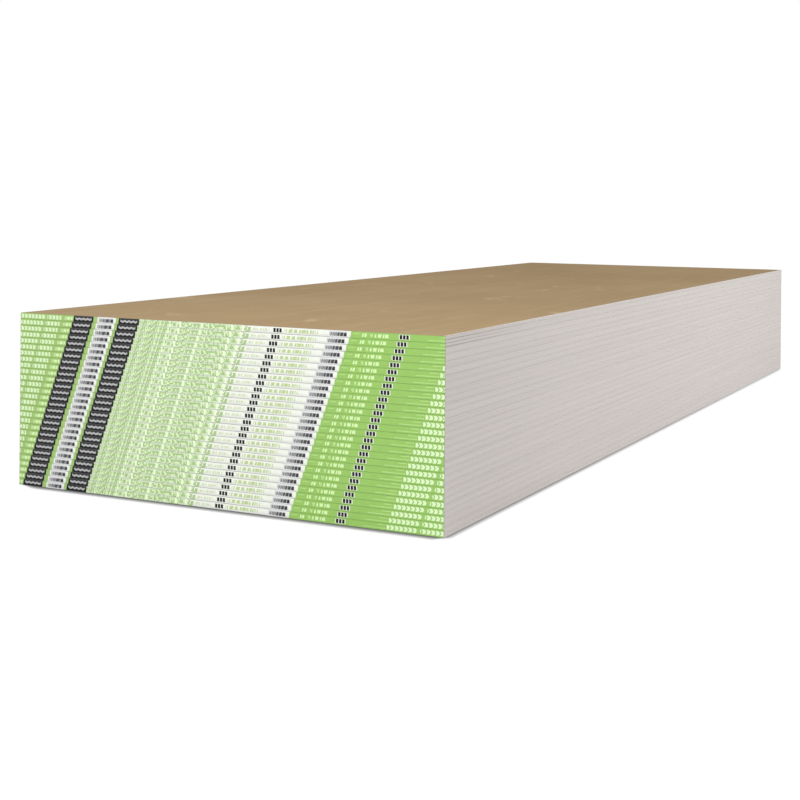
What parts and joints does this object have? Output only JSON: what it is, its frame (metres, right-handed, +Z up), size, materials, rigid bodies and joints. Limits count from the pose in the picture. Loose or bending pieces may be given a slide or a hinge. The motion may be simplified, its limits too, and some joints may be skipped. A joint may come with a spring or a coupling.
{
  "type": "stack of drywall sheets",
  "caption": "Flat stack of drywall sheets, laid face to face in pairs with brown back paper outwards, each pair held by a printed green and white paper tape across its ends.",
  "frame": {"origin": "middle of the stack's underside", "axes": "+X across the sheets, +Y along them away from the near end, +Z up"},
  "size_m": [1.2196, 3.6586, 0.4474],
  "materials": {
    "sheet": "paper-faced gypsum board: brown back paper, pale grey folded long edges",
    "tape": "printed paper, green and white bands with black marks"
  },
  "bodies": {
    "root": {"pair_01": "sheet", "pair_02": "sheet", "pair_03": "sheet", "pair_04": "sheet", "pair_05": "sheet", "pair_06": "sheet", "pair_07": "sheet", "pair_08": "sheet", "pair_09": "sheet", "pair_10": "sheet", "pair_11": "sheet", "pair_12": "sheet", "pair_13": "sheet", "pair_14": "sheet", "pair_15": "sheet", "pair_16": "sheet", "pair_17": "sheet", "pair_18": "sheet", "pair_19": "sheet", "pair_20": "sheet", "pair_21": "sheet", "pair_22": "sheet", "pair_23": "sheet", "pair_24": "sheet", "pair_25": "sheet", "pair_26": "sheet", "pair_27": "sheet", "pair_28": "sheet", "near_end_tapes": "tape", "far_end_tapes": "tape"}
  },
  "joints": []
}
